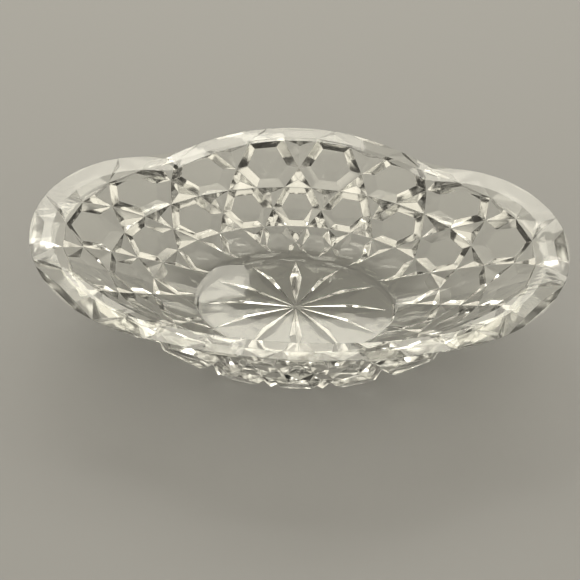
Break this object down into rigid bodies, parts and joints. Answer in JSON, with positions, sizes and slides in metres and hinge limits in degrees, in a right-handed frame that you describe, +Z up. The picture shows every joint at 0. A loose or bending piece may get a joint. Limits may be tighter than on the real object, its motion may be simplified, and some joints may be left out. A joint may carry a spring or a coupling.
{
  "type": "oval glass dish",
  "caption": "Shallow oval dish in clear cut-pattern glass with a scalloped polished rim, faceted outer wall and a star cut under its flat foot.",
  "frame": {"origin": "centre of the flat underside of the foot, on the surface that the dish stands on", "axes": "+X along the dish's length, +Y across its width, +Z up out of its open side"},
  "size_m": [0.13, 0.082, 0.0268],
  "materials": {
    "glass": "clear, polished"
  },
  "bodies": {
    "root": {"glass_dish": "glass"}
  },
  "joints": []
}
